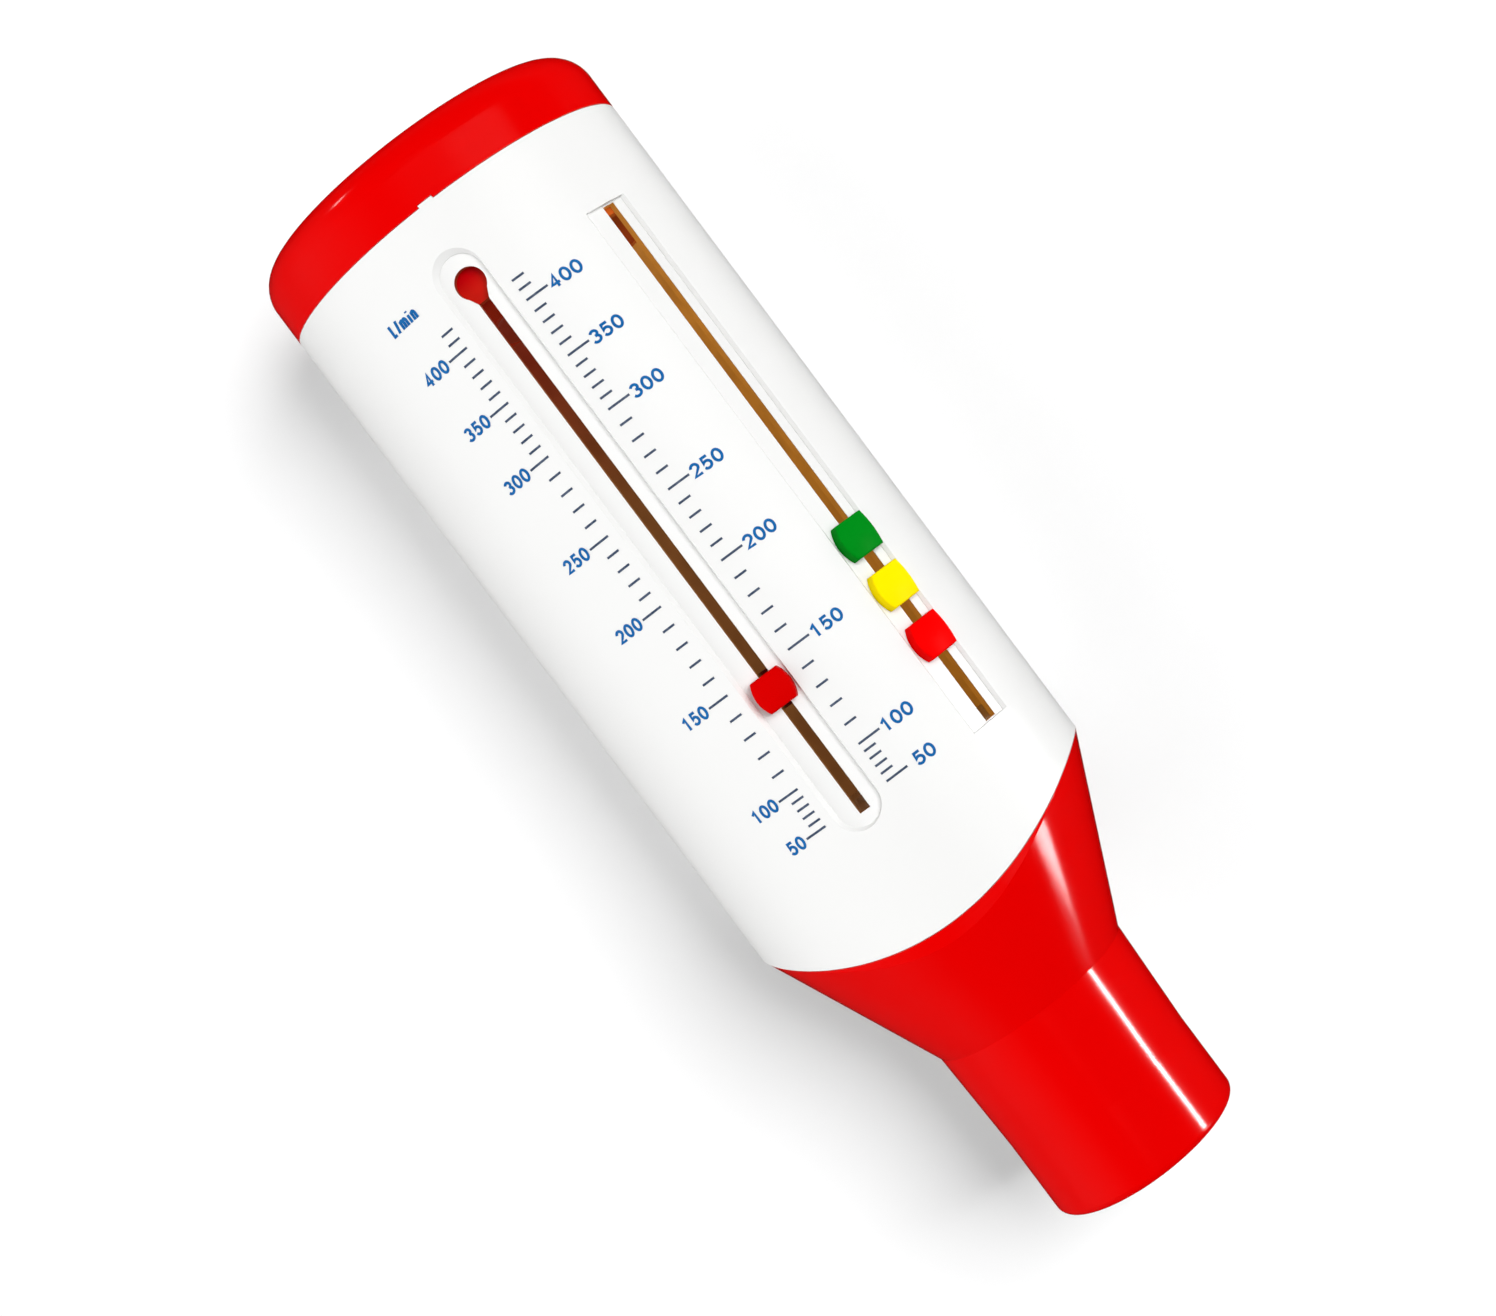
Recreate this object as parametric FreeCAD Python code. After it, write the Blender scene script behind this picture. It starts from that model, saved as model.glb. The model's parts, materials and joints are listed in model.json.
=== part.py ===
import FreeCAD, Part
import math
import os

V = FreeCAD.Vector
os.makedirs("parts", exist_ok=True)

# Peak flow meter, in millimetres. It lies on its back: X is across the scale, Y runs from the
# mouthpiece (-Y) to the vented end cap (+Y), and Z points out of the face that carries the scale.

# Overall
LENGTH = 171.6
HALF_W = 27.5
HALF_D = 20.5
AXIS_Z = HALF_D
END_Y = LENGTH / 2.0
LIP_Y = -LENGTH / 2.0

# Clearances: a part that slides, one that is pushed in by hand, and the seam between two mouldings
RUN = 0.05
SEAT = 0.05
SEAM = 0.12
GLIDE = 0.1

# Barrel
WALL = 2.0
CAP_VISIBLE = 10.5
BARREL_TOP = END_Y - CAP_VISIBLE
EDGE_SIDE_Y = -31.8
EDGE_MID_Y = -40.5
INDEX_X = 1.7
INDEX_W = 2.2
INDEX_H = 0.4

# Reading slot, on the crown of the face, with the keyhole through which the pointer goes in
SLOT_W = 1.65
SLOT_LOW = -22.1
KEYHOLE_Y = 63.8
KEYHOLE_R = 2.2
LEAD_IN = 1.6
RECESS_LEFT = -3.45
RECESS_RIGHT = 2.8
RECESS_LOW = -23.95
RECESS_HIGH = 68.1
RECESS_DEEP = 0.8
RIM_WIDE = 0.92
RIM_NARROW = 0.28
RIM_DEEP = 0.65

# Zone slot for the three markers, to the right of the scale
ZONE_FROM_SIDE = 7.6
ZONE_X = HALF_W - ZONE_FROM_SIDE
ZONE_SLOT_W = 1.85
ZONE_SLOT_X = 0.65
ZONE_LOW = -22.6
ZONE_HIGH = 62.2
ZONE_RECESS_W = 5.9
ZONE_RECESS_PAST = 0.2
ZONE_RIM_W = 0.65

# End cap
CAP_EDGE_R = 5.0
CAP_WALL = 1.8
SKIRT_T = 1.55
SKIRT_LOW = 61.2
BOSS_R = 4.5
VENT_COUNT = 12
VENT_W = 2.4
VENT_L = 6.0
VENT_FROM_SIDE = 12.5
VENT_FROM_FACE = 10.3

# Mouthpiece adapter; its neck is a wall's thickness wider than the seat of the rod carrier in it
NECK_Y = -58.0
CARRIER_SEAT_R = 14.2
NECK_WALL = 1.4
NECK_R = CARRIER_SEAT_R + NECK_WALL
CONE_OVER = 3.5
SPIGOT_HIGH = -26.5
CONE_HIGH = SPIGOT_HIGH + WALL
LIP_R = 15.0
LAND_LEN = 12.0
LIP_ROUND = 1.2
BORE_R = 13.2
LEDGE_R = 12.6
LEDGE_Y = -61.5
CONE_WALL = 1.9

# Rod carrier in the neck
CARRIER_LOW = -57.5
CARRIER_LEN = 3.6
CARRIER_RING_T = 1.7
SPOKE_T = 1.6
HUB_R = 4.5
HUB_LEN = 4.4
NOSE_R = 3.5
NOSE_LEN = 2.6

# Rod, its screw and washer, and the rubber buffer
ROD_R = 1.5
ROD_HIGH = 80.5
COLLAR_R = 2.5
COLLAR_T = 0.8
SCREW_R = 0.8
SCREW_LEN = 7.0
SCREW_HEAD_R = 2.1
SCREW_HEAD_H = 1.5
WASHER_R = 3.0
WASHER_T = 0.5
BUFFER_R = 4.2
BUFFER_LEN = 3.0

# Piston
PISTON_FACE_Y = -22.6
PISTON_GAP = 0.4
PLATE_T = 1.4
PISTON_RIM_T = 1.2
PISTON_TRAVEL = 78.5
RIB_COUNT = 6
RIB_T = 1.2
PISTON_HUB_LEN = 6.0
BUSH_R = 2.4
BUSH_NOSE = 2.0
BUSH_FLANGE_R = 3.3
BUSH_FLANGE_T = 0.8
CLIP_T = 0.4
CLIP_R = 3.6

# Return spring, wound round the rod
WIRE_R = 0.3
SPRING_TURNS = 11

# Pointer and markers
POINTER_Y = -2.3
POINTER_W = 5.4
POINTER_L = 4.85
POINTER_BOW = 0.65
POINTER_NECK_L = 3.4
FOOT_R = 1.95
FOOT_T = 0.9
TAB_W = 2.8
TAB_T = 1.8
TAB_DEEP = 2.4
LEAF_HALF = 2.9
LEAF_T = 0.18
LEAF_W = 3.0
MARKER_W = 5.6
MARKER_L = 5.4
MARKER_BOW = 0.8
MARKER_NECK_L = 2.4
MARKER_FOOT_GAP = 0.2
MARKER_FOOT_W = 3.6
MARKER_FOOT_L = 4.0
MARKER_FOOT_T = 0.8
MARKERS = {"green": 7.3, "yellow": -0.7, "red": -9.05}
HEAD_RISE = 1.5
CROWN_R = 9.0
HEAD_EDGE = 0.35


def ellipse(half_w, half_d, y):
    if half_w - half_d > 1e-6:
        edge = Part.Ellipse(V(0, 0, 0), half_w, half_d).toShape()
    else:
        edge = Part.Circle(V(0, 0, 0), V(0, 0, 1), half_w).toShape()
    wire = Part.Wire([edge])
    wire.rotate(V(0, 0, 0), V(1, 0, 0), 90)
    wire.translate(V(0, y, AXIS_Z))
    return wire


def oval(half_w, half_d, low, high):
    return Part.Face(ellipse(half_w, half_d, low)).extrude(V(0, high - low, 0))


def inset(by, low, high):
    return oval(HALF_W - by, HALF_D - by, low, high)


def cyl(r, low, high):
    return Part.makeCylinder(r, high - low, V(0, low, AXIS_Z), V(0, 1, 0))


def pipe(r_out, r_in, low, high):
    return cyl(r_out, low, high).cut(cyl(r_in, low - 1, high + 1))


def turned(points):
    # A profile of (radius, y) points turned about the long axis.
    corners = [V(r, y, AXIS_Z) for r, y in points]
    face = Part.Face(Part.makePolygon(corners + corners[:1]))
    return face.revolve(V(0, 0, AXIS_Z), V(0, 1, 0), 360)


def save(shape, node):
    shape = shape.removeSplitter()
    shape.exportStep("parts/" + node + ".step")


def edges_at(shape, test):
    return [e for e in shape.Edges if test(e)]


# The zone slot is cut square to the wall, so its tools are made flat and then tilted into place.
ZONE_Z = HALF_D * math.sqrt(1.0 - (ZONE_X / HALF_W) ** 2)
ZONE_TILT = math.degrees(math.atan2(ZONE_X / HALF_W ** 2, ZONE_Z / HALF_D ** 2))


def to_zone(shape):
    shape.rotate(V(0, 0, 0), V(0, 1, 0), ZONE_TILT)
    shape.translate(V(ZONE_X, 0, AXIS_Z + ZONE_Z))
    return shape


def to_crown(shape):
    shape.translate(V(0, 0, AXIS_Z + HALF_D))
    return shape


def flat_block(w, low, high, z_low, z_high, x=0.0):
    return Part.makeBox(w, high - low, z_high - z_low, V(x - w / 2.0, low, z_low))


def below_edge(shift):
    # The region on the mouthpiece side of the barrel's edge, a parabola seen from the front,
    # moved along by a seam.
    side = V(-HALF_W, EDGE_SIDE_Y + shift, -1)
    pull = V(0, 2 * EDGE_MID_Y - EDGE_SIDE_Y + shift, -1)
    far = V(HALF_W, EDGE_SIDE_Y + shift, -1)
    reach = HALF_W + 5
    curve = Part.BezierCurve()
    curve.setPoles([side, pull, far])
    outer = [far, V(reach, far.y, -1), V(reach, LIP_Y - 5, -1), V(-reach, LIP_Y - 5, -1)]
    outer = outer + [V(-reach, side.y, -1), side]
    face = Part.Face(Part.Wire([curve.toShape()] + Part.makePolygon(outer).Edges))
    return face.extrude(V(0, 0, 2 * HALF_D + 4))


def stadium(left, right, low, high, z):
    mid = (left + right) / 2.0
    r = (right - left) / 2.0
    ends = [V(left, low + r, z), V(right, low + r, z), V(right, high - r, z), V(left, high - r, z)]
    low_end = Part.Arc(ends[0], V(mid, low, z), ends[1]).toShape()
    high_end = Part.Arc(ends[2], V(mid, high, z), ends[3]).toShape()
    return Part.Wire([low_end, Part.makeLine(ends[1], ends[2]), high_end, Part.makeLine(ends[3], ends[0])])


def oblong(left, right, low, high, z):
    corners = [V(left, low, z), V(right, low, z), V(right, high, z), V(left, high, z)]
    return Part.makePolygon(corners + corners[:1])


def recess(outline, left, right, low, high, rims):
    # The tool for a shallow recess with a flat floor. The rim slopes up from it, over a width of
    # its own at the left, the right, the low end and the high end.
    top = 0.5
    out = [w * (RIM_DEEP + top) / RIM_DEEP for w in rims]
    floor = Part.makeLoft([outline(left, right, low, high, -RECESS_DEEP),
                           outline(left, right, low, high, top)], True, True)
    rim = Part.makeLoft([outline(left, right, low, high, -RIM_DEEP),
                         outline(left - out[0], right + out[1], low - out[2], high + out[3], top)],
                        True, True)
    return floor.fuse(rim)


def lead_in():
    # The keyhole narrows to the slot, so that the pointer's neck finds its way in.
    wide = KEYHOLE_R * 0.75
    y = KEYHOLE_Y - KEYHOLE_R * 0.6
    narrow = SLOT_W / 2.0
    corners = [V(-wide, y, 0), V(-narrow, y - LEAD_IN, 0), V(narrow, y - LEAD_IN, 0), V(wide, y, 0)]
    face = Part.Face(Part.makePolygon(corners + corners[:1]))
    face.translate(V(0, 0, -WALL - 2))
    return face.extrude(V(0, 0, WALL + 3))


def index_tab(by, high, under):
    # A small tab on the barrel's top edge, just right of the crown, which sets the cap the right way
    # round. It is also the tool for its notch in the cap, wider by a seam.
    w = INDEX_W + 2 * by
    block = Part.makeBox(w, high - BARREL_TOP + 1, WALL + 2,
                         V(INDEX_X - w / 2.0, BARREL_TOP - 1, AXIS_Z + HALF_D - WALL - 1))
    return block.cut(inset(under, BARREL_TOP - 2, high + 1))


def barrel():
    body = inset(0, EDGE_MID_Y - 3, BARREL_TOP).cut(inset(WALL, EDGE_MID_Y - 4, BARREL_TOP + 1))
    body = body.cut(below_edge(0))
    body = body.fuse(index_tab(0, BARREL_TOP + INDEX_H, WALL).common(inset(0, EDGE_MID_Y, END_Y)))
    rims = (RIM_WIDE, RIM_NARROW, RIM_NARROW, RIM_WIDE)
    body = body.cut(to_crown(recess(stadium, RECESS_LEFT, RECESS_RIGHT, RECESS_LOW, RECESS_HIGH, rims)))
    body = body.cut(to_crown(flat_block(SLOT_W, SLOT_LOW, KEYHOLE_Y, -WALL - 2, 1)))
    body = body.cut(to_crown(Part.makeCylinder(KEYHOLE_R, WALL + 3, V(0, KEYHOLE_Y, -WALL - 2))))
    body = body.cut(to_crown(lead_in()))
    side = ZONE_RECESS_W / 2.0
    trough = recess(oblong, -side, side, ZONE_LOW - ZONE_RECESS_PAST, ZONE_HIGH + ZONE_RECESS_PAST,
                    (ZONE_RIM_W, ZONE_RIM_W, 0, 0))
    slot = flat_block(ZONE_SLOT_W, ZONE_LOW, ZONE_HIGH, -WALL - 1.5, 1, ZONE_SLOT_X)
    return body.cut(to_zone(trough)).cut(to_zone(slot))


def vents():
    tool = None
    for i in range(VENT_COUNT):
        angle = math.radians(360.0 / VENT_COUNT * (i + 0.5))
        x = (HALF_W - VENT_FROM_SIDE) * math.cos(angle)
        z = (HALF_D - VENT_FROM_FACE) * math.sin(angle)
        slot = Part.makeBox(VENT_L, 2 * CAP_WALL + 2, VENT_W, V(-VENT_L / 2.0, 0, -VENT_W / 2.0))
        slot = slot.makeFillet(VENT_W / 2.2, edges_at(slot, lambda e: e.BoundBox.YLength > 2))
        slot.rotate(V(0, 0, 0), V(0, 1, 0), -math.degrees(math.atan2(z, x)))
        slot.translate(V(x, END_Y - CAP_WALL - 1, AXIS_Z + z))
        tool = slot if tool is None else tool.fuse(slot)
    return tool


def end_cap():
    shell = inset(0, BARREL_TOP + SEAM, END_Y)
    rim = edges_at(shell, lambda e: e.BoundBox.YMin > END_Y - 0.01)
    shell = shell.makeFillet(CAP_EDGE_R, rim)
    hollow = inset(WALL + SKIRT_T, BARREL_TOP - 1, END_Y - CAP_WALL)
    inner = edges_at(hollow, lambda e: e.BoundBox.YMin > END_Y - CAP_WALL - 0.01)
    hollow = hollow.makeFillet(CAP_EDGE_R - CAP_WALL, inner)
    shell = shell.cut(hollow).cut(index_tab(SEAM, BARREL_TOP + INDEX_H + SEAM, WALL + SEAT))
    skirt = inset(WALL + SEAT, SKIRT_LOW, BARREL_TOP + 2)
    skirt = skirt.cut(inset(WALL + SKIRT_T, SKIRT_LOW - 1, BARREL_TOP + 3))
    shell = shell.fuse(skirt)
    shell = shell.cut(vents())
    boss_low = PISTON_FACE_Y + BUSH_NOSE + PISTON_TRAVEL + 0.3 + BUFFER_LEN
    boss = cyl(BOSS_R, boss_low, END_Y - CAP_WALL / 2.0)
    webs = None
    for angle in (0, 90, 180, 270):
        web = Part.makeBox(HALF_W - WALL - SKIRT_T / 2.0, 5, 1.4, V(0, END_Y - CAP_WALL - 4.5, -0.7))
        web.rotate(V(0, 0, 0), V(0, 1, 0), angle)
        web.translate(V(0, 0, AXIS_Z))
        webs = web if webs is None else webs.fuse(web)
    webs = webs.common(inset(WALL + 0.5, SKIRT_LOW, END_Y - 0.6))
    return shell.fuse(webs).fuse(boss).cut(cyl(ROD_R + SEAT, boss_low - 1, ROD_HIGH + 0.2))


def cone(by, low, high):
    # Ruled transition from the round neck to an oval, thinned all round for the inside.
    slope_w = (HALF_W - NECK_R) / (EDGE_SIDE_Y - NECK_Y)
    slope_d = (HALF_D + CONE_OVER - NECK_R) / (EDGE_SIDE_Y - NECK_Y)
    rise = high - low
    base = NECK_R - by
    return Part.makeLoft([ellipse(base, base, low),
                          ellipse(base + slope_w * rise, base + slope_d * rise, high)], True, True)


def adapter_outside():
    flare = cone(0, NECK_Y, CONE_HIGH).common(inset(0, NECK_Y, CONE_HIGH))
    flare = flare.common(below_edge(-SEAM))
    tube = turned([(0, LIP_Y), (LIP_R, LIP_Y), (LIP_R, LIP_Y + LAND_LEN), (NECK_R, NECK_Y), (0, NECK_Y)])
    lip = edges_at(tube, lambda e: e.BoundBox.YMax < LIP_Y + 0.01 and e.BoundBox.XLength > 1)
    tube = tube.makeFillet(LIP_ROUND, lip)
    spigot = inset(WALL + SEAT, EDGE_MID_Y - 2, SPIGOT_HIGH)
    spigot = spigot.common(cone(0.6, NECK_Y, CONE_HIGH))
    return flare.fuse(tube).fuse(spigot)


def mouthpiece_adapter():
    bore = cyl(BORE_R, LIP_Y - 1, LEDGE_Y).fuse(cyl(LEDGE_R, LEDGE_Y - 1, NECK_Y + 1))
    inside = cone(CONE_WALL, NECK_Y, CONE_HIGH).common(inset(WALL + SKIRT_T, NECK_Y - 1, CONE_HIGH))
    seat = cyl(CARRIER_SEAT_R, CARRIER_LOW, CARRIER_LOW + CARRIER_LEN + 1.2)
    body = adapter_outside().cut(bore.fuse(inside).fuse(seat))
    at_bore = lambda e: abs(e.BoundBox.XLength - 2 * BORE_R) < 0.1
    lip = edges_at(body, lambda e: e.BoundBox.YMax < LIP_Y + 0.01 and at_bore(e))
    return body.makeFillet(0.5, lip)


def inlet_spider():
    ring_r = CARRIER_SEAT_R - SEAT
    high = CARRIER_LOW + CARRIER_LEN
    body = pipe(ring_r, ring_r - CARRIER_RING_T, CARRIER_LOW, high)
    body = body.fuse(cyl(HUB_R, CARRIER_LOW, CARRIER_LOW + HUB_LEN))
    body = body.fuse(cyl(NOSE_R, CARRIER_LOW, CARRIER_LOW + HUB_LEN + NOSE_LEN))
    for angle in (90, 210, 330):
        spoke = Part.makeBox(ring_r - 0.8, CARRIER_LEN - 0.6, SPOKE_T,
                             V(0, CARRIER_LOW + 0.3, -SPOKE_T / 2.0))
        spoke.rotate(V(0, 0, 0), V(0, 1, 0), -angle)
        spoke.translate(V(0, 0, AXIS_Z))
        body = body.fuse(spoke)
    return body.cut(cyl(ROD_R + SEAT, CARRIER_LOW - 1, CARRIER_LOW + HUB_LEN + NOSE_LEN + 1))


def guide_rod():
    low = CARRIER_LOW + 0.3
    step = CARRIER_LOW + HUB_LEN + NOSE_LEN
    rod = turned([(0, low), (ROD_R, low), (ROD_R, step), (COLLAR_R, step), (COLLAR_R, step + COLLAR_T),
                  (ROD_R, step + COLLAR_T), (ROD_R, ROD_HIGH - 0.5), (ROD_R - 0.5, ROD_HIGH), (0, ROD_HIGH)])
    return rod.cut(cyl(SCREW_R + 0.02, low - 1, low + SCREW_LEN))


def rod_screw():
    under = CARRIER_LOW - WASHER_T
    screw = turned([(0, under - SCREW_HEAD_H), (SCREW_HEAD_R - 0.5, under - SCREW_HEAD_H),
                    (SCREW_HEAD_R, under - SCREW_HEAD_H + 0.5), (SCREW_HEAD_R, under),
                    (SCREW_R, under), (SCREW_R, under + SCREW_LEN - 0.4), (0, under + SCREW_LEN)])
    for w, h in ((0.6, 2.6), (2.6, 0.6)):
        screw = screw.cut(Part.makeBox(w, 0.9, h,
                                       V(-w / 2.0, under - SCREW_HEAD_H - 0.1, AXIS_Z - h / 2.0)))
    return screw


def rear_buffer():
    low = PISTON_FACE_Y + BUSH_NOSE + PISTON_TRAVEL + 0.3
    ring = pipe(BUFFER_R, ROD_R + SEAT, low, low + BUFFER_LEN)
    rims = edges_at(ring, lambda e: e.BoundBox.XLength > 2 * BUFFER_R - 0.1)
    return ring.makeFillet(0.8, rims)


def piston_plate():
    back = PISTON_FACE_Y - PLATE_T
    rim_low = SPIGOT_HIGH + GLIDE
    body = inset(WALL + PISTON_GAP, back, PISTON_FACE_Y)
    rim = inset(WALL + PISTON_GAP, rim_low, back)
    rim = rim.cut(inset(WALL + PISTON_GAP + PISTON_RIM_T, rim_low - 1, back))
    ribs = None
    for i in range(RIB_COUNT):
        rib = Part.makeBox(HALF_W, back - rim_low - 0.3, RIB_T, V(0, rim_low + 0.3, -RIB_T / 2.0))
        rib.rotate(V(0, 0, 0), V(0, 1, 0), 360.0 / RIB_COUNT * i)
        rib.translate(V(0, 0, AXIS_Z))
        ribs = rib if ribs is None else ribs.fuse(rib)
    ribs = ribs.common(inset(WALL + PISTON_GAP + 0.4, rim_low, back))
    hub = cyl(NOSE_R, back - PISTON_HUB_LEN, PISTON_FACE_Y - 0.01)
    body = body.fuse(rim).fuse(ribs).fuse(hub)
    body = body.cut(cyl(BUSH_R + SEAT, back - PISTON_HUB_LEN - 1, PISTON_FACE_Y + 1))
    # Reliefs where the feet of the zone markers and the pointer's leaf run.
    feet = flat_block(MARKER_FOOT_W + 1.8, rim_low - 1, PISTON_FACE_Y + 1, -WALL - 1.7, 1, ZONE_SLOT_X)
    leaf = to_crown(flat_block(LEAF_W + 1.0, rim_low - 1, PISTON_FACE_Y + 1, -WALL - 1.0, 1))
    return body.cut(to_zone(feet)).cut(leaf)


def bush_back():
    return PISTON_FACE_Y - PLATE_T - PISTON_HUB_LEN


def piston_bush():
    low = bush_back() - CLIP_T - 1.0
    face = PISTON_FACE_Y
    return turned([(ROD_R + RUN, low), (BUSH_R, low), (BUSH_R, face), (BUSH_FLANGE_R, face),
                   (BUSH_FLANGE_R, face + BUSH_FLANGE_T), (BUSH_R, face + BUSH_FLANGE_T),
                   (BUSH_R, face + BUSH_NOSE - 0.4), (BUSH_R - 0.4, face + BUSH_NOSE),
                   (ROD_R + RUN, face + BUSH_NOSE)])


def piston_clip():
    # Star washer: a thin ring whose inner fingers grip the bush.
    high = bush_back()
    ring = pipe(CLIP_R, BUSH_R + 0.03, high - CLIP_T, high)
    for i in range(6):
        gap = Part.makeBox(0.5, CLIP_T + 1, 3.1, V(-0.25, high - CLIP_T - 0.5, 0))
        gap.rotate(V(0, 0, 0), V(0, 1, 0), 60.0 * i + 30.0)
        gap.translate(V(0, 0, AXIS_Z))
        ring = ring.cut(gap)
    return ring


def return_spring():
    low = CARRIER_LOW + HUB_LEN + WIRE_R + 0.1
    high = bush_back() + PISTON_HUB_LEN - 3.2
    mean_r = NOSE_R + WIRE_R + 0.1
    path = Part.makeHelix((high - low) / SPRING_TURNS, high - low, mean_r)
    ring = Part.Wire([Part.Circle(V(mean_r, 0, 0), V(0, 1, 0), WIRE_R).toShape()])
    coil = Part.Wire(path.Edges).makePipeShell([ring], True, True)
    coil.rotate(V(0, 0, 0), V(1, 0, 0), -90)
    coil.translate(V(0, low, AXIS_Z))
    return coil


def head(w, length, bow, right_bow):
    # Button with straight ends, a bowed left side, a bowed or straight right side and a crowned
    # top; its underside is on the recess floor.
    low = -RECESS_DEEP + 0.08
    left = -w / 2.0
    right = w / 2.0
    end = length / 2.0
    corners = [V(left + bow, -end, low), V(right - right_bow, -end, low),
               V(right - right_bow, end, low), V(left + bow, end, low)]
    right_side = Part.makeLine(corners[1], corners[2])
    if right_bow > 0:
        right_side = Part.Arc(corners[1], V(right, 0, low), corners[2]).toShape()
    left_side = Part.Arc(corners[3], V(left, 0, low), corners[0]).toShape()
    outline = Part.Wire([Part.makeLine(corners[0], corners[1]), right_side,
                         Part.makeLine(corners[2], corners[3]), left_side])
    body = Part.Face(outline).extrude(V(0, 0, 4))
    body = body.common(Part.makeSphere(CROWN_R, V(0, 0, HEAD_RISE - CROWN_R)))
    top = edges_at(body, lambda e: e.BoundBox.ZMin > 0.2)
    return body.makeFillet(HEAD_EDGE, top)


def pointer():
    foot_top = -WALL - 0.7
    neck = POINTER_NECK_L / 2.0
    body = head(POINTER_W, POINTER_L, POINTER_BOW, POINTER_BOW)
    body = body.fuse(flat_block(SLOT_W - 2 * GLIDE, -neck, neck, foot_top - 0.2, 0))
    body = body.fuse(Part.makeCylinder(FOOT_R, FOOT_T, V(0, 0, foot_top - FOOT_T)))
    tab_low = -FOOT_R * 0.7
    tab = flat_block(TAB_W, tab_low, tab_low + TAB_T, foot_top - FOOT_T - TAB_DEEP, foot_top - FOOT_T)
    body = to_crown(body.fuse(tab))
    body.translate(V(0, POINTER_Y, 0))
    return body


def pointer_leaf():
    # Bowed leaf between the pointer's foot and the wall; it holds the pointer where the piston leaves it.
    low = -WALL - 0.7 + 0.02
    rise = 0.36
    outline = [V(0, -LEAF_HALF, low + rise), V(0, 0, low), V(0, LEAF_HALF, low + rise)]
    upper = [p + V(0, 0, LEAF_T) for p in outline]
    wire = Part.Wire([Part.Arc(*outline).toShape(), Part.makeLine(outline[2], upper[2]),
                      Part.Arc(upper[2], upper[1], upper[0]).toShape(), Part.makeLine(upper[0], outline[0])])
    leaf = Part.Face(wire).extrude(V(LEAF_W, 0, 0))
    leaf.translate(V(-LEAF_W / 2.0, 0, 0))
    neck = POINTER_NECK_L / 2.0 + 0.05
    leaf = leaf.cut(flat_block(SLOT_W, -neck, neck, low - 1, low + 1))
    leaf = to_crown(leaf)
    leaf.translate(V(0, POINTER_Y, 0))
    return leaf


def marker(y):
    tip = -WALL - MARKER_FOOT_GAP - MARKER_FOOT_T
    neck = MARKER_NECK_L / 2.0
    body = head(MARKER_W, MARKER_L, MARKER_BOW, 0)
    body = body.fuse(flat_block(ZONE_SLOT_W - 2 * GLIDE, -neck, neck, tip, 0, ZONE_SLOT_X))
    body.translate(V(0, y, 0))
    return to_zone(body)


def marker_foot(y):
    high = -WALL - MARKER_FOOT_GAP
    half = MARKER_FOOT_L / 2.0
    neck = MARKER_NECK_L / 2.0 + 0.02
    body = flat_block(MARKER_FOOT_W, -half, half, high - MARKER_FOOT_T, high, ZONE_SLOT_X)
    body = body.makeFillet(0.5, edges_at(body, lambda e: e.BoundBox.ZLength > MARKER_FOOT_T - 0.01))
    hole = flat_block(ZONE_SLOT_W - 2 * GLIDE + 0.04, -neck, neck, high - 2, high + 1, ZONE_SLOT_X)
    body = body.cut(hole)
    body.translate(V(0, y, 0))
    return to_zone(body)


save(barrel(), "barrel")
save(end_cap(), "end_cap")
save(mouthpiece_adapter(), "mouthpiece_adapter")
save(inlet_spider(), "inlet_spider")
save(guide_rod(), "guide_rod")
save(rod_screw(), "rod_screw")
save(pipe(WASHER_R, SCREW_R + 0.1, CARRIER_LOW - WASHER_T, CARRIER_LOW), "rod_washer")
save(rear_buffer(), "rear_buffer")
save(piston_plate(), "piston_plate")
save(piston_bush(), "piston_bush")
save(piston_clip(), "piston_clip")
save(return_spring(), "return_spring")
save(pointer(), "pointer")
save(pointer_leaf(), "pointer_leaf")
for colour, place in MARKERS.items():
    save(marker(place), colour + "_marker")
    save(marker_foot(place), colour + "_marker_foot")
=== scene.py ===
import bmesh
import bpy
import json
import math
from mathutils import Matrix, Vector

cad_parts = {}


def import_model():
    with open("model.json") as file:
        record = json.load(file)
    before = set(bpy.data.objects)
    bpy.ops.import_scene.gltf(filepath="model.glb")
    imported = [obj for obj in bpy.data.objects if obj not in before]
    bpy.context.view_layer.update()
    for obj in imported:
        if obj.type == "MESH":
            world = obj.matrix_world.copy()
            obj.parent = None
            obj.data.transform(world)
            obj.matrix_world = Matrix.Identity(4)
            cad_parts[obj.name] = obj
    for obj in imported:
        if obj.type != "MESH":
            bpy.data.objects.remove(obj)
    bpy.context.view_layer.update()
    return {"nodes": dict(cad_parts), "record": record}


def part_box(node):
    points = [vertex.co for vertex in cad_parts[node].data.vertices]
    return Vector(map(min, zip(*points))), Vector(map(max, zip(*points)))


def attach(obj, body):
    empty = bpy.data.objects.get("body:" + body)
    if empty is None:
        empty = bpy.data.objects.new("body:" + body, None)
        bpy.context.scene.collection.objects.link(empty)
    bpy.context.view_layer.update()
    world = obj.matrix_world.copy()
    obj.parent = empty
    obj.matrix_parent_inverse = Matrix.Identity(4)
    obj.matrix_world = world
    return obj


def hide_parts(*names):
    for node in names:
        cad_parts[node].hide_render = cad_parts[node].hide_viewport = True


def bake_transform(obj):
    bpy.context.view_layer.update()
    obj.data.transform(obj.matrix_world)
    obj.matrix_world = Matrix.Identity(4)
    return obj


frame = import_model()
nodes = frame["nodes"]

MM = 0.001

# The barrel's oval, read from the frame
barrel_low, barrel_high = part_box("barrel")
HALF_W = (barrel_high.x - barrel_low.x) / 2
HALF_D = (barrel_high.z - barrel_low.z) / 2
AXIS_Z = (barrel_high.z + barrel_low.z) / 2

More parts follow.
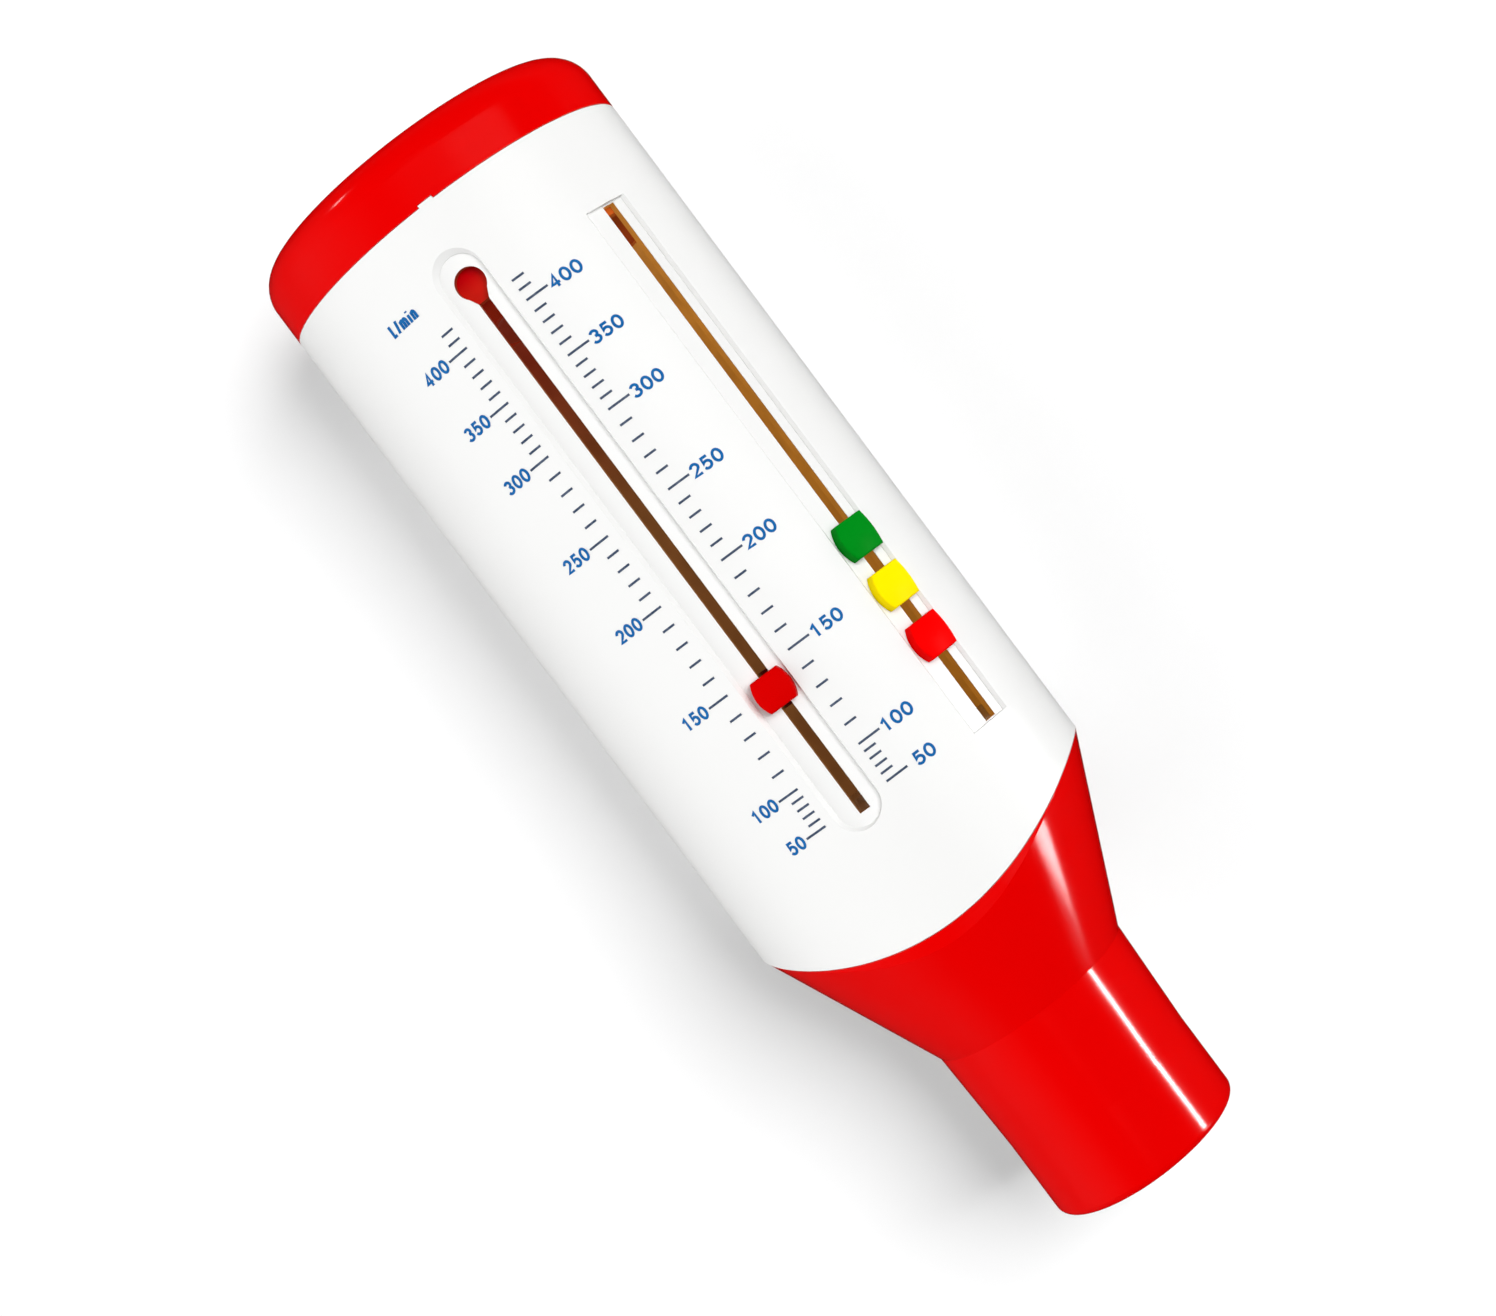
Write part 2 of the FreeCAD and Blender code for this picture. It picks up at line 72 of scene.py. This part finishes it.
# Painted shade and painted glow inside the barrel, set as base colour and emission: under the reading slot
# and at its cap end, and the same under the zone slot
SLOT_PAINTED_SHADE = (0.106, 0.041, 0.011)
SLOT_CAP_END_PAINTED_SHADE = (0.108, 0.013, 0.005)
SLOT_SIDE_PAINTED_SHADE = (0.22, 0.083, 0.008)
SLOT_SIDE_CAP_END_PAINTED_SHADE = (0.295, 0.122, 0.0165)

# Painted shade and painted glow of what else shows through the slots: the cap's skirt, under each slot, and
# the rubber buffer
SKIRT_PAINTED_SHADE = (0.46, 0.0, 0.002)
SKIRT_SIDE_PAINTED_SHADE = (0.45, 0.09, 0.01)
SKIRT_PAINTED_GLOW = (0.07, 0.01, 0.003)
BUFFER_PAINTED_GLOW = (0.105, 0.012, 0.005)

# Where each painted shade and painted glow starts and is full: below the face, along the barrel and across
# it, in metres
INSIDE_DEPTH = (0.00081, 0.00087)
INSIDE_FROM = (-0.029, -0.028)
CAP_END_SHADE = (0.030, 0.058)
SIDE_SHADE = (0.006, 0.012)
SIDE_CAP_END_SHADE = (-0.02, 0.06)
SKIRT_FROM = (0.050, 0.055)
SKIRT_TO = (0.0751, 0.0755)
SKIRT_GLOW_TO = (0.063, 0.065)

# Printed scale: places along the barrel of the labelled marks, and the two smaller marks past the last one
LABELLED = {
    50: -20.66, 100: -14.56, 150: 0.77, 200: 15.28,
    250: 26.8, 300: 39.76, 350: 48.5, 400: 57.45,
}
PAST_LAST = (59.05, 60.57)
STEPS_BETWEEN = 5
MARK_T = 0.32 * MM
MARK_LENGTHS = 6
INK_LIFT = 0.022 * MM
INK_T = 0.02 * MM

# Each side of the slot: inner end of the marks, outer ends of the short and long ones, where the figures
# and the 50 begin or end, how much narrower the figures stand, and how far they lie below their mark
RIGHT = {
    "inner": 4.6, "short": 6.45, "long": 7.95,
    "figures": 8.2, "fifty": 9.05, "squeeze": 1.0, "drop": 0.08,
}
LEFT = {
    "inner": -5.43, "short": -7.35, "long": -8.6,
    "figures": -8.98, "fifty": -8.98, "squeeze": 0.86, "drop": -0.05,
}
FIGURE_H = 1.98 * MM
FIGURE_W = 1.48 * MM
FIGURE_PITCH = 1.66 * MM
FIGURE_LINE = 0.38 * MM

# The unit beside the scale's top: its start, height and line, and each character's width and step
UNIT_START = (-12.8 * MM, 64.5 * MM)
UNIT_LINE = 0.4 * MM
UNIT_H = 1.9 * MM
UNIT = (("L", 0.85, 0.95), ("/", 0.7, 0.85), ("m", 1.3, 1.5), ("i", 0.36, 0.56), ("n", 0.85, 0.0))

# Return spring
WIRE_R = 0.3 * MM
SPRING_TURNS = 11
TURN_STEPS = 28
WIRE_SIDES = 8

# Room light: its even brightness, what is added at the far left and where that fades out, the share that
# shows in reflections, and the plain brightness of the room itself
SKY_EVEN = 0.05
SKY_LEFT = 2.8
SKY_LEFT_ENDS = -0.35
SKY_REFLECTED = 0.03
SKY_SEEN = 0.95

# Lamps over the meter: name, lean to the right in degrees, place along it, distance, length, width, power
LAMPS = (
    ("key", 36.0, 0.1, 2.0, 1.2, 1.2, 39.0),
    ("top", 6.0, 0.1, 2.0, 1.4, 1.4, 8.0),
)
LAMP_AIM = (0.0, 0.0, 0.02)

# Lamps seen only as highlights: name, place, what they face, length, width and power
GLINTS = (
    ("neck_line", (0.62, -0.24, 0.2), (0.0, -0.24, 0.02), 0.22, 0.055, 4.0),
    ("cone_window", (0.47, -0.433, 0.075), (0.016, -0.04, 0.036), 0.04, 0.12, 0.7),
    ("cap_glint", (-0.27, 0.6, 0.18), (-0.007, 0.083, 0.04), 0.05, 0.03, 0.15),
)

# Camera: where the photograph was taken from, for a 1496 by 1316 picture
IMAGE_W = 1496
IMAGE_H = 1316
CAMERA_PLACE = Vector((43.017, 2.419, 302.983)) * MM
CAMERA_BACK = Vector((0.11516, 0.01524, 0.99323))
CAMERA_ROLL = math.radians(36.93)
FOCAL_PIXELS = 2033.96
CENTRE_PIXELS = (848.0, 628.0)
SENSOR = 36.0
CLIP_NEAR = 0.01
CLIP_FAR = 20.0

FLOOR_HALF = 2.5


def add(tree, kind, inputs=(), **settings):
    node = tree.nodes.new(kind)
    for name, value in settings.items():
        setattr(node, name, value)
    for name, value in dict(inputs).items():
        if isinstance(value, bpy.types.NodeSocket):
            tree.links.new(value, node.inputs[name])
        else:
            node.inputs[name].default_value = value
    return node


def maths(tree, operation, first, second=0.0, clamp=False):
    node = add(tree, "ShaderNodeMath", {0: first, 1: second}, operation=operation, use_clamp=clamp)
    return node.outputs[0]


def mix_colour(tree, factor, first, second):
    node = add(tree, "ShaderNodeMix", {0: factor, 6: first, 7: second}, data_type="RGBA")
    return node.outputs[2]


def mapped(tree, value, low, high, to_low, to_high):
    node = add(tree, "ShaderNodeMapRange", {0: value, 1: low, 2: high, 3: to_low, 4: to_high})
    return node.outputs[0]


def rising(tree, value, span):
    """Nought below the span, one above it."""
    return mapped(tree, value, *span, 0.0, 1.0)


def falling(tree, value, span):
    """One below the span, nought above it."""
    return mapped(tree, value, *span, 1.0, 0.0)


def noise(tree, place, scale, detail=3.0):
    node = add(tree, "ShaderNodeTexNoise", {"Vector": place, "Scale": scale, "Detail": detail})
    return node.outputs[0]


def new_material(name):
    mat = bpy.data.materials.new(name)
    mat.use_nodes = True
    tree = mat.node_tree
    return mat, tree, tree.nodes["Principled BSDF"]


def rgba(colour):
    return (*colour, 1.0)


def skin(tree, shader, place, scale, depth):
    """Fine unevenness of a moulded or rolled surface."""
    height = noise(tree, place, scale)
    bump = add(tree, "ShaderNodeBump", {"Strength": 0.3, "Distance": depth, "Height": height})
    tree.links.new(bump.outputs[0], shader.inputs["Normal"])


def moulded(name, colour, shade, roughness, specular, grain=(900.0, 0.000004)):
    """Moulded plastic: a faint cloudiness in the colour, an uneven gloss and a fine skin."""
    mat, tree, shader = new_material(name)
    place = add(tree, "ShaderNodeTexCoord").outputs["Object"]
    tint = mix_colour(tree, noise(tree, place, 45.0), rgba(colour), rgba(shade))
    gloss = mapped(tree, noise(tree, place, 220.0), 0.3, 0.7, roughness * 0.92, roughness * 1.08)
    tree.links.new(tint, shader.inputs["Base Color"])
    tree.links.new(gloss, shader.inputs["Roughness"])
    shader.inputs["Specular IOR Level"].default_value = specular
    skin(tree, shader, place, *grain)
    return mat, tree, shader, place, tint


def depth_below_face(tree, axes):
    """How far a point of the barrel lies below its outer face."""
    across = axes[0]
    up = maths(tree, "SUBTRACT", axes[2], AXIS_Z)
    share = [maths(tree, "DIVIDE", v, half) for v, half in ((across, HALF_W), (up, HALF_D))]
    steep = [maths(tree, "DIVIDE", v, half) for v, half in zip(share, (HALF_W, HALF_D))]
    lengths = []
    for pair in (share, steep):
        squares = [maths(tree, "MULTIPLY", v, v) for v in pair]
        lengths.append(maths(tree, "SQRT", maths(tree, "ADD", *squares)))
    left = maths(tree, "SUBTRACT", 1.0, lengths[0])
    return maths(tree, "DIVIDE", maths(tree, "MULTIPLY", left, lengths[0]), lengths[1])


def white_barrel():
    """White outside; the inside is painted in deep warm shade, and the same colour is emitted as a painted
    glow, as it looks through the slots.
    """
    colour = (0.785, 0.785, 0.777)
    shade = (0.772, 0.772, 0.764)
    mat, tree, shader, place, tint = moulded("white_moulding", colour, shade, 0.35, 0.5)
    axes = add(tree, "ShaderNodeSeparateXYZ", {0: place}).outputs
    deep = rising(tree, depth_below_face(tree, axes), INSIDE_DEPTH)
    past_edge = rising(tree, axes[1], INSIDE_FROM)
    inside = maths(tree, "MULTIPLY", deep, past_edge, clamp=True)
    towards_cap = rising(tree, axes[1], CAP_END_SHADE)
    warm = mix_colour(tree, towards_cap, rgba(SLOT_PAINTED_SHADE), rgba(SLOT_CAP_END_PAINTED_SHADE))
    side = rising(tree, axes[0], SIDE_SHADE)
    along = rising(tree, axes[1], SIDE_CAP_END_SHADE)
    warm_side = mix_colour(tree, along, rgba(SLOT_SIDE_PAINTED_SHADE), rgba(SLOT_SIDE_CAP_END_PAINTED_SHADE))
    warm = mix_colour(tree, side, warm, warm_side)
    uneven = mapped(tree, noise(tree, place, 260.0), 0.3, 0.7, 0.8, 1.15)
    # Painted shade inside the barrel in the base colour, and a painted glow: the same warm colour is
    # emitted there
    painted_glow = mix_colour(tree, inside, rgba((0, 0, 0)), warm)
    tree.links.new(mix_colour(tree, inside, tint, warm), shader.inputs["Base Color"])
    tree.links.new(painted_glow, shader.inputs["Emission Color"])
    tree.links.new(uneven, shader.inputs["Emission Strength"])
    return mat


def red_housing():
    """Red moulding; where the cap's skirt runs inside the barrel it is painted in the barrel's warm shade,
    and its part nearer the mouthpiece has a painted glow.
    """
    mat, tree, shader, place, tint = moulded("red_moulding", (0.7, 0.0, 0.0), (0.66, 0.0, 0.0), 0.12, 0.16)
    axes = add(tree, "ShaderNodeSeparateXYZ", {0: place}).outputs
    above = rising(tree, axes[1], SKIRT_FROM)
    below = falling(tree, axes[1], SKIRT_TO)
    under = maths(tree, "MULTIPLY", above, below, clamp=True)
    side = rising(tree, axes[0], SIDE_SHADE)
    shade = mix_colour(tree, side, rgba(SKIRT_PAINTED_SHADE), rgba(SKIRT_SIDE_PAINTED_SHADE))
    # Painted shade: the skirt's base colour is darkened to the barrel's inner shade; painted glow: its part
    # nearer the mouthpiece also emits
    tree.links.new(mix_colour(tree, under, tint, shade), shader.inputs["Base Color"])
    painted_glow_mask = maths(tree, "MULTIPLY", under, falling(tree, axes[1], SKIRT_GLOW_TO))
    shader.inputs["Emission Color"].default_value = rgba(SKIRT_PAINTED_GLOW)
    tree.links.new(painted_glow_mask, shader.inputs["Emission Strength"])
    return mat


def steel():
    """Drawn steel, with fine lines round the wire and rod."""
    mat, tree, shader = new_material("drawn_steel")
    place = add(tree, "ShaderNodeTexCoord").outputs["Object"]
    stretch = add(tree, "ShaderNodeMapping", {"Vector": place, "Scale": (1.0, 12.0, 1.0)}).outputs[0]
    tint = mix_colour(tree, noise(tree, stretch, 300.0), rgba((0.58, 0.58, 0.6)), rgba((0.42, 0.42, 0.43)))
    gloss = mapped(tree, noise(tree, stretch, 800.0), 0.3, 0.7, 0.2, 0.36)
    tree.links.new(tint, shader.inputs["Base Color"])
    tree.links.new(gloss, shader.inputs["Roughness"])
    shader.inputs["Metallic"].default_value = 1.0
    skin(tree, shader, stretch, 1500.0, 0.000004)
    return mat


def ink(name, colour, shade):
    """Pad-printed ink: a little thin in places, so that the white shows through."""
    mat, tree, shader = new_material(name)
    place = add(tree, "ShaderNodeTexCoord").outputs["Object"]
    thin = mapped(tree, noise(tree, place, 1500.0), 0.4, 0.7, 0.0, 1.0)
    tint = mix_colour(tree, thin, rgba(colour), rgba(shade))
    tree.links.new(tint, shader.inputs["Base Color"])
    gloss = mapped(tree, noise(tree, place, 3000.0), 0.3, 0.7, 0.4, 0.55)
    tree.links.new(gloss, shader.inputs["Roughness"])
    shader.inputs["Specular IOR Level"].default_value = 0.1
    return mat


def plain(name, colour, shade, roughness, specular):
    return moulded(name, colour, shade, roughness, specular)[0]


def buffer_rubber():
    """Dark red rubber; it also emits a painted glow in the barrel's warm inner shade, because it shows
    through the reading slot.
    """
    colour = (0.12, 0.015, 0.01)
    shade = (0.09, 0.012, 0.01)
    mat, tree, shader, place, tint = moulded("buffer_rubber", colour, shade, 0.65, 0.3)
    # Painted glow: the rubber emits the warm inner shade colour
    shader.inputs["Emission Color"].default_value = rgba(BUFFER_PAINTED_GLOW)
    shader.inputs["Emission Strength"].default_value = 1.0
    return mat


MATERIALS = {
    "white_plastic": white_barrel(),
    "red_plastic": red_housing(),
    "acetal": plain("acetal", (0.8, 0.79, 0.73), (0.74, 0.73, 0.66), 0.38, 0.45),
    "piston_plastic": plain("piston_moulding", (0.62, 0.6, 0.56), (0.56, 0.54, 0.5), 0.42, 0.45),
    "steel": steel(),
    "rubber": buffer_rubber(),
    "pointer_red": plain("pointer_moulding", (0.58, 0.0, 0.0), (0.55, 0.0, 0.0), 0.42, 0.01),
    "marker_red": plain("red_marker_moulding", (0.85, 0.0, 0.0), (0.82, 0.0, 0.0), 0.42, 0.01),
    "marker_yellow": plain("yellow_marker_moulding", (0.94, 0.74, 0.0), (0.92, 0.72, 0.0), 0.42, 0.01),
    "marker_green": plain("green_marker_moulding", (0.0, 0.225, 0.009), (0.0, 0.215, 0.008), 0.42, 0.01),
}


def dress_nodes():
    """Each solid gets its material. The two red mouldings throw no colour on the white around them."""
    for part in frame["record"]["subparts"]:
        for mesh_slot in nodes[part["node"]].material_slots:
            mesh_slot.material = MATERIALS[part["material_slot"]]
    for name in ("end_cap", "mouthpiece_adapter"):
        nodes[name].visible_diffuse = False


def face_height(x):
    """Height of the barrel's outer face above the floor at a place across it."""
    return AXIS_Z + HALF_D * math.sqrt(max(0.0, 1 - (x / HALF_W) ** 2))


def printed(name, mesh, material):
    """A thin layer of ink laid on the barrel's face, from a mesh drawn flat with its underside at zero."""
    for vertex in mesh.vertices:
        vertex.co.z += face_height(vertex.co.x) + INK_LIFT
    mesh.update()
    piece = bpy.data.objects.new(name, mesh)
    bpy.context.scene.collection.objects.link(piece)
    mesh.materials.clear()
    mesh.materials.append(material)
    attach(piece, "housing")


def arc(centre_x, centre_y, half_w, half_h, start, end, steps=12):
    """Points along part of an ellipse, from one angle to another in degrees."""
    turn = [math.radians(start + (end - start) * i / steps) for i in range(steps + 1)]
    return [(centre_x + half_w * math.cos(t), centre_y + half_h * math.sin(t)) for t in turn]


def glyph(letter):
    """The centre lines of one character, in a box that is one wide and one high."""
    small = 0.7
    if letter == "0":
        return [arc(0.5, 0.5, 0.5, 0.5, 90, 450, 24)]
    if letter == "1":
        return [[(0.1, 0.74), (0.56, 0.98), (0.56, -0.08)]]
    if letter == "2":
        return [arc(0.5, 0.7, 0.46, 0.3, 170, -30) + [(0.02, 0.0), (1.0, 0.0)]]
    if letter == "3":
        return [arc(0.47, 0.76, 0.42, 0.24, 160, -90), arc(0.47, 0.27, 0.49, 0.27, 90, -160)]
    if letter == "4":
        return [[(1.05, 0.27), (0.0, 0.27), (0.7, 1.0), (0.7, -0.08)]]
    if letter == "5":
        return [[(0.93, 1.0), (0.2, 1.0), (0.09, 0.5)] + arc(0.48, 0.32, 0.5, 0.32, 130, -155)]
    if letter == "L":
        return [[(0.0, 1.08), (0.0, 0.0), (1.0, 0.0)]]
    if letter == "/":
        return [[(0.0, -0.08), (1.0, 1.08)]]
    if letter == "i":
        return [[(0.5, -0.08), (0.5, small)], [(0.5, 0.94), (0.5, 1.08)]]
    arches = 2 if letter == "m" else 1
    lines = [[(0.0, -0.08), (0.0, small + 0.04)]]
    for i in range(arches):
        near = i / arches
        far = (i + 1) / arches
        bow = arc((near + far) / 2, small - 0.26, (far - near) / 2, 0.26, 180, 0)
        lines.append(bow + [(far, -0.08)])
    return lines


def stroke(bm, points, line):
    """A flat bar of ink of even width along a line of points."""
    sections = []
    closed = math.dist(points[0], points[-1]) < 1e-9
    for i, (x, y) in enumerate(points):
        before = points[i - 1] if i > 0 else (points[-2] if closed else points[i])
        after = points[i + 1] if i < len(points) - 1 else (points[1] if closed else points[i])
        into = Vector((x - before[0], y - before[1]))
        out = Vector((after[0] - x, after[1] - y))
        into = into.normalized() if into.length > 0 else out.normalized()
        out = out.normalized() if out.length > 0 else into
        along = (into + out).normalized()
        aside = Vector((-along.y, along.x)) * line / 2 / max(0.6, along.dot(into))
        corners = [(x + aside.x, y + aside.y), (x - aside.x, y - aside.y)]
        sections.append([bm.verts.new((*c, z)) for z in (0.0, INK_T) for c in corners])
    for first, second in zip(sections, sections[1:]):
        for a, b in ((0, 1), (1, 3), (3, 2), (2, 0)):
            bm.faces.new((first[a], first[b], second[b], second[a]))
    if not closed:
        for ends in (sections[0], sections[-1]):
            bm.faces.new((ends[0], ends[1], ends[3], ends[2]))


def write(bm, letter, left, foot, width, height, line):
    """One character whose ink fills the box given, in metres."""
    for points in glyph(letter):
        inner_w = width - line
        inner_h = height - line
        placed = [(left + line / 2 + x * inner_w, foot + line / 2 + y * inner_h) for x, y in points]
        stroke(bm, placed, line)


def inked(name, bm, material):
    """The drawn strokes as one printed piece."""
    bmesh.ops.recalc_face_normals(bm, faces=bm.faces)
    mesh = bpy.data.meshes.new(name)
    bm.to_mesh(mesh)
    bm.free()
    printed(name, mesh, material)


def print_figures(material):
    """The figures on both sides of the slot, each beside its long mark."""
    bm = bmesh.new()
    for value, y in LABELLED.items():
        for side in (LEFT, RIGHT):
            word = str(value)
            pitch = FIGURE_PITCH * side["squeeze"]
            width = FIGURE_W * side["squeeze"]
            full = pitch * (len(word) - 1) + width
            start = side["figures" if len(word) > 2 else "fifty"] * MM
            left = start - full if start < 0 else start
            foot = (y - side["drop"]) * MM - FIGURE_H / 2
            for i, letter in enumerate(word):
                write(bm, letter, left + i * pitch, foot, width, FIGURE_H, FIGURE_LINE)
    inked("scale_figures", bm, material)


def print_unit(material):
    bm = bmesh.new()
    left, foot = UNIT_START
    for letter, width, step in UNIT:
        write(bm, letter, left, foot, width * MM, UNIT_H, UNIT_LINE)
        left += step * MM
    inked("scale_unit", bm, material)


def mark(bm, start, end, y):
    """One line of the scale: a thin bar across the barrel, in short lengths so that it follows the face."""
    for i in range(MARK_LENGTHS):
        near = start + (end - start) * i / MARK_LENGTHS
        far = start + (end - start) * (i + 1) / MARK_LENGTHS
        cube = bmesh.ops.create_cube(bm, size=1.0)["verts"]
        for vertex in cube:
            x = near if vertex.co.x < 0 else far
            vertex.co = Vector((x, y + vertex.co.y * MARK_T, INK_T * (vertex.co.z + 0.5)))


def print_marks(material):
    """The scale's lines: long at each figure, short between, with no walls left inside a line."""
    places = [(y, True) for y in LABELLED.values()]
    edges = list(LABELLED.values())
    for low, high in zip(edges, edges[1:]):
        for step in range(1, STEPS_BETWEEN):
            places.append((low + (high - low) * step / STEPS_BETWEEN, False))
    places += [(y, False) for y in PAST_LAST]
    bm = bmesh.new()
    for y, long_mark in places:
        for side in (LEFT, RIGHT):
            end = side["long"] if long_mark else side["short"]
            mark(bm, side["inner"] * MM, end * MM, y * MM)
    bmesh.ops.remove_doubles(bm, verts=bm.verts, dist=1e-7)
    inner = [f for f in bm.faces if all(len(e.link_faces) > 2 for e in f.edges)]
    bmesh.ops.delete(bm, geom=inner, context="FACES")
    inked("scale_marks", bm, material)


def spring():
    """The return spring as a smooth round wire."""
    low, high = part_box("return_spring")
    mean_r = (high.x - low.x) / 2 - WIRE_R
    start = low.y + WIRE_R
    rise = high.y - low.y - 2 * WIRE_R
    places = SPRING_TURNS * TURN_STEPS
    turn = [2 * math.pi * k / WIRE_SIDES for k in range(WIRE_SIDES)]
    bm = bmesh.new()
    rings = []
    for i in range(places + 1):
        angle = 2 * math.pi * i / TURN_STEPS
        out = Vector((math.cos(angle), 0, -math.sin(angle)))
        round_rod = out.cross(Vector((0, 1, 0))) * -mean_r * 2 * math.pi / TURN_STEPS
        along = Vector((0, rise / places, 0)) + round_rod
        across = along.normalized().cross(out)
        centre = Vector((0, start + rise * i / places, AXIS_Z)) + out * mean_r
        corners = [centre + (out * math.cos(t) + across * math.sin(t)) * WIRE_R for t in turn]
        rings.append([bm.verts.new(corner) for corner in corners])
    for ring, following in zip(rings, rings[1:]):
        for k in range(WIRE_SIDES):
            after = (k + 1) % WIRE_SIDES
            bm.faces.new((ring[k], ring[after], following[after], following[k]))
    bm.faces.new(rings[0])
    bm.faces.new(rings[-1][::-1])
    bmesh.ops.recalc_face_normals(bm, faces=bm.faces)
    for face in bm.faces:
        face.smooth = len(face.verts) == 4
    mesh = bpy.data.meshes.new("return_spring_wire")
    bm.to_mesh(mesh)
    bm.free()
    mesh.materials.append(MATERIALS["steel"])
    piece = bpy.data.objects.new("return_spring_wire", mesh)
    bpy.context.scene.collection.objects.link(piece)
    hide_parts("return_spring")
    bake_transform(piece)


def floor():
    """A plain pale floor, left out of the glossy pieces' reflections."""
    mat, tree, shader = new_material("pale_floor")
    place = add(tree, "ShaderNodeTexCoord").outputs["Object"]
    tint = mix_colour(tree, noise(tree, place, 6.0), rgba((0.89, 0.89, 0.89)), rgba((0.88, 0.88, 0.882)))
    tree.links.new(tint, shader.inputs["Base Color"])
    shader.inputs["Roughness"].default_value = 0.8
    shader.inputs["Specular IOR Level"].default_value = 0.1
    bm = bmesh.new()
    bmesh.ops.create_grid(bm, x_segments=8, y_segments=8, size=FLOOR_HALF)
    mesh = bpy.data.meshes.new("floor")
    bm.to_mesh(mesh)
    bm.free()
    mesh.materials.append(mat)
    piece = bpy.data.objects.new("floor", mesh)
    piece.visible_glossy = False
    bpy.context.scene.collection.objects.link(piece)


def area_light(name, place, target, size, power, diffuse=True, gloss=True):
    """A rectangular lamp, which may light the pieces, show as a highlight on them, or both."""
    data = bpy.data.lights.new(name, "AREA")
    data.shape = "RECTANGLE"
    data.size = size[0]
    data.size_y = size[1]
    data.energy = power
    light = bpy.data.objects.new(name, data)
    light.location = place
    light.rotation_euler = (Vector(target) - Vector(place)).to_track_quat("-Z", "Y").to_euler()
    light.visible_diffuse = diffuse
    light.visible_glossy = gloss
    bpy.context.scene.collection.objects.link(light)


def world():
    """A pale room, brightest low on the reader's left, dim in reflections and plain where it is seen."""
    sky = bpy.data.worlds.new("soft_room")
    bpy.context.scene.world = sky
    sky.use_nodes = True
    tree = sky.node_tree
    background = tree.nodes["Background"]
    place = add(tree, "ShaderNodeTexCoord").outputs["Generated"]
    axes = add(tree, "ShaderNodeSeparateXYZ", {0: place}).outputs
    light = maths(tree, "ADD", mapped(tree, axes[0], -1.0, SKY_LEFT_ENDS, SKY_LEFT, 0.0), SKY_EVEN)
    path = add(tree, "ShaderNodeLightPath").outputs
    dim = mapped(tree, path["Is Glossy Ray"], 0.0, 1.0, 1.0, SKY_REFLECTED)
    lit = maths(tree, "MULTIPLY", light, dim)
    strength = mapped(tree, path["Is Camera Ray"], 0.0, 1.0, lit, SKY_SEEN)
    tree.links.new(strength, background.inputs["Strength"])
    background.inputs["Color"].default_value = (1, 1, 1, 1)


def lights():
    for name, lean, along, distance, length, width, power in LAMPS:
        turn = math.radians(lean)
        place = Vector((math.sin(turn), along, math.cos(turn))) * distance
        area_light(name, place, LAMP_AIM, (length, width), power, gloss=False)
    for name, place, target, length, width, power in GLINTS:
        area_light(name, place, target, (length, width), power, diffuse=False)


def camera():
    """The photograph's camera: its place, where its back points, its roll, focal length and centre."""
    data = bpy.data.cameras.new("camera")
    data.sensor_width = SENSOR
    data.lens = FOCAL_PIXELS / IMAGE_W * SENSOR
    data.shift_x = (IMAGE_W / 2 - CENTRE_PIXELS[0]) / IMAGE_W
    data.shift_y = (CENTRE_PIXELS[1] - IMAGE_H / 2) / IMAGE_W
    data.clip_start = CLIP_NEAR
    data.clip_end = CLIP_FAR
    back = CAMERA_BACK.normalized()
    hint = Vector((math.sin(CAMERA_ROLL), math.cos(CAMERA_ROLL), 0))
    right = hint.cross(back).normalized()
    up = back.cross(right)
    piece = bpy.data.objects.new("camera", data)
    turn = Matrix((right, up, back)).transposed().to_4x4()
    piece.matrix_world = Matrix.Translation(CAMERA_PLACE) @ turn
    bpy.context.scene.collection.objects.link(piece)
    bpy.context.scene.camera = piece


dress_nodes()
blue = ink("blue_ink", (0.003, 0.1, 0.32), (0.008, 0.13, 0.38))
slate = ink("slate_ink", (0.045, 0.065, 0.11), (0.09, 0.115, 0.17))
print_figures(blue)
print_unit(blue)
print_marks(slate)
spring()
floor()
world()
lights()
camera()
bpy.context.scene.view_settings.view_transform = "Standard"
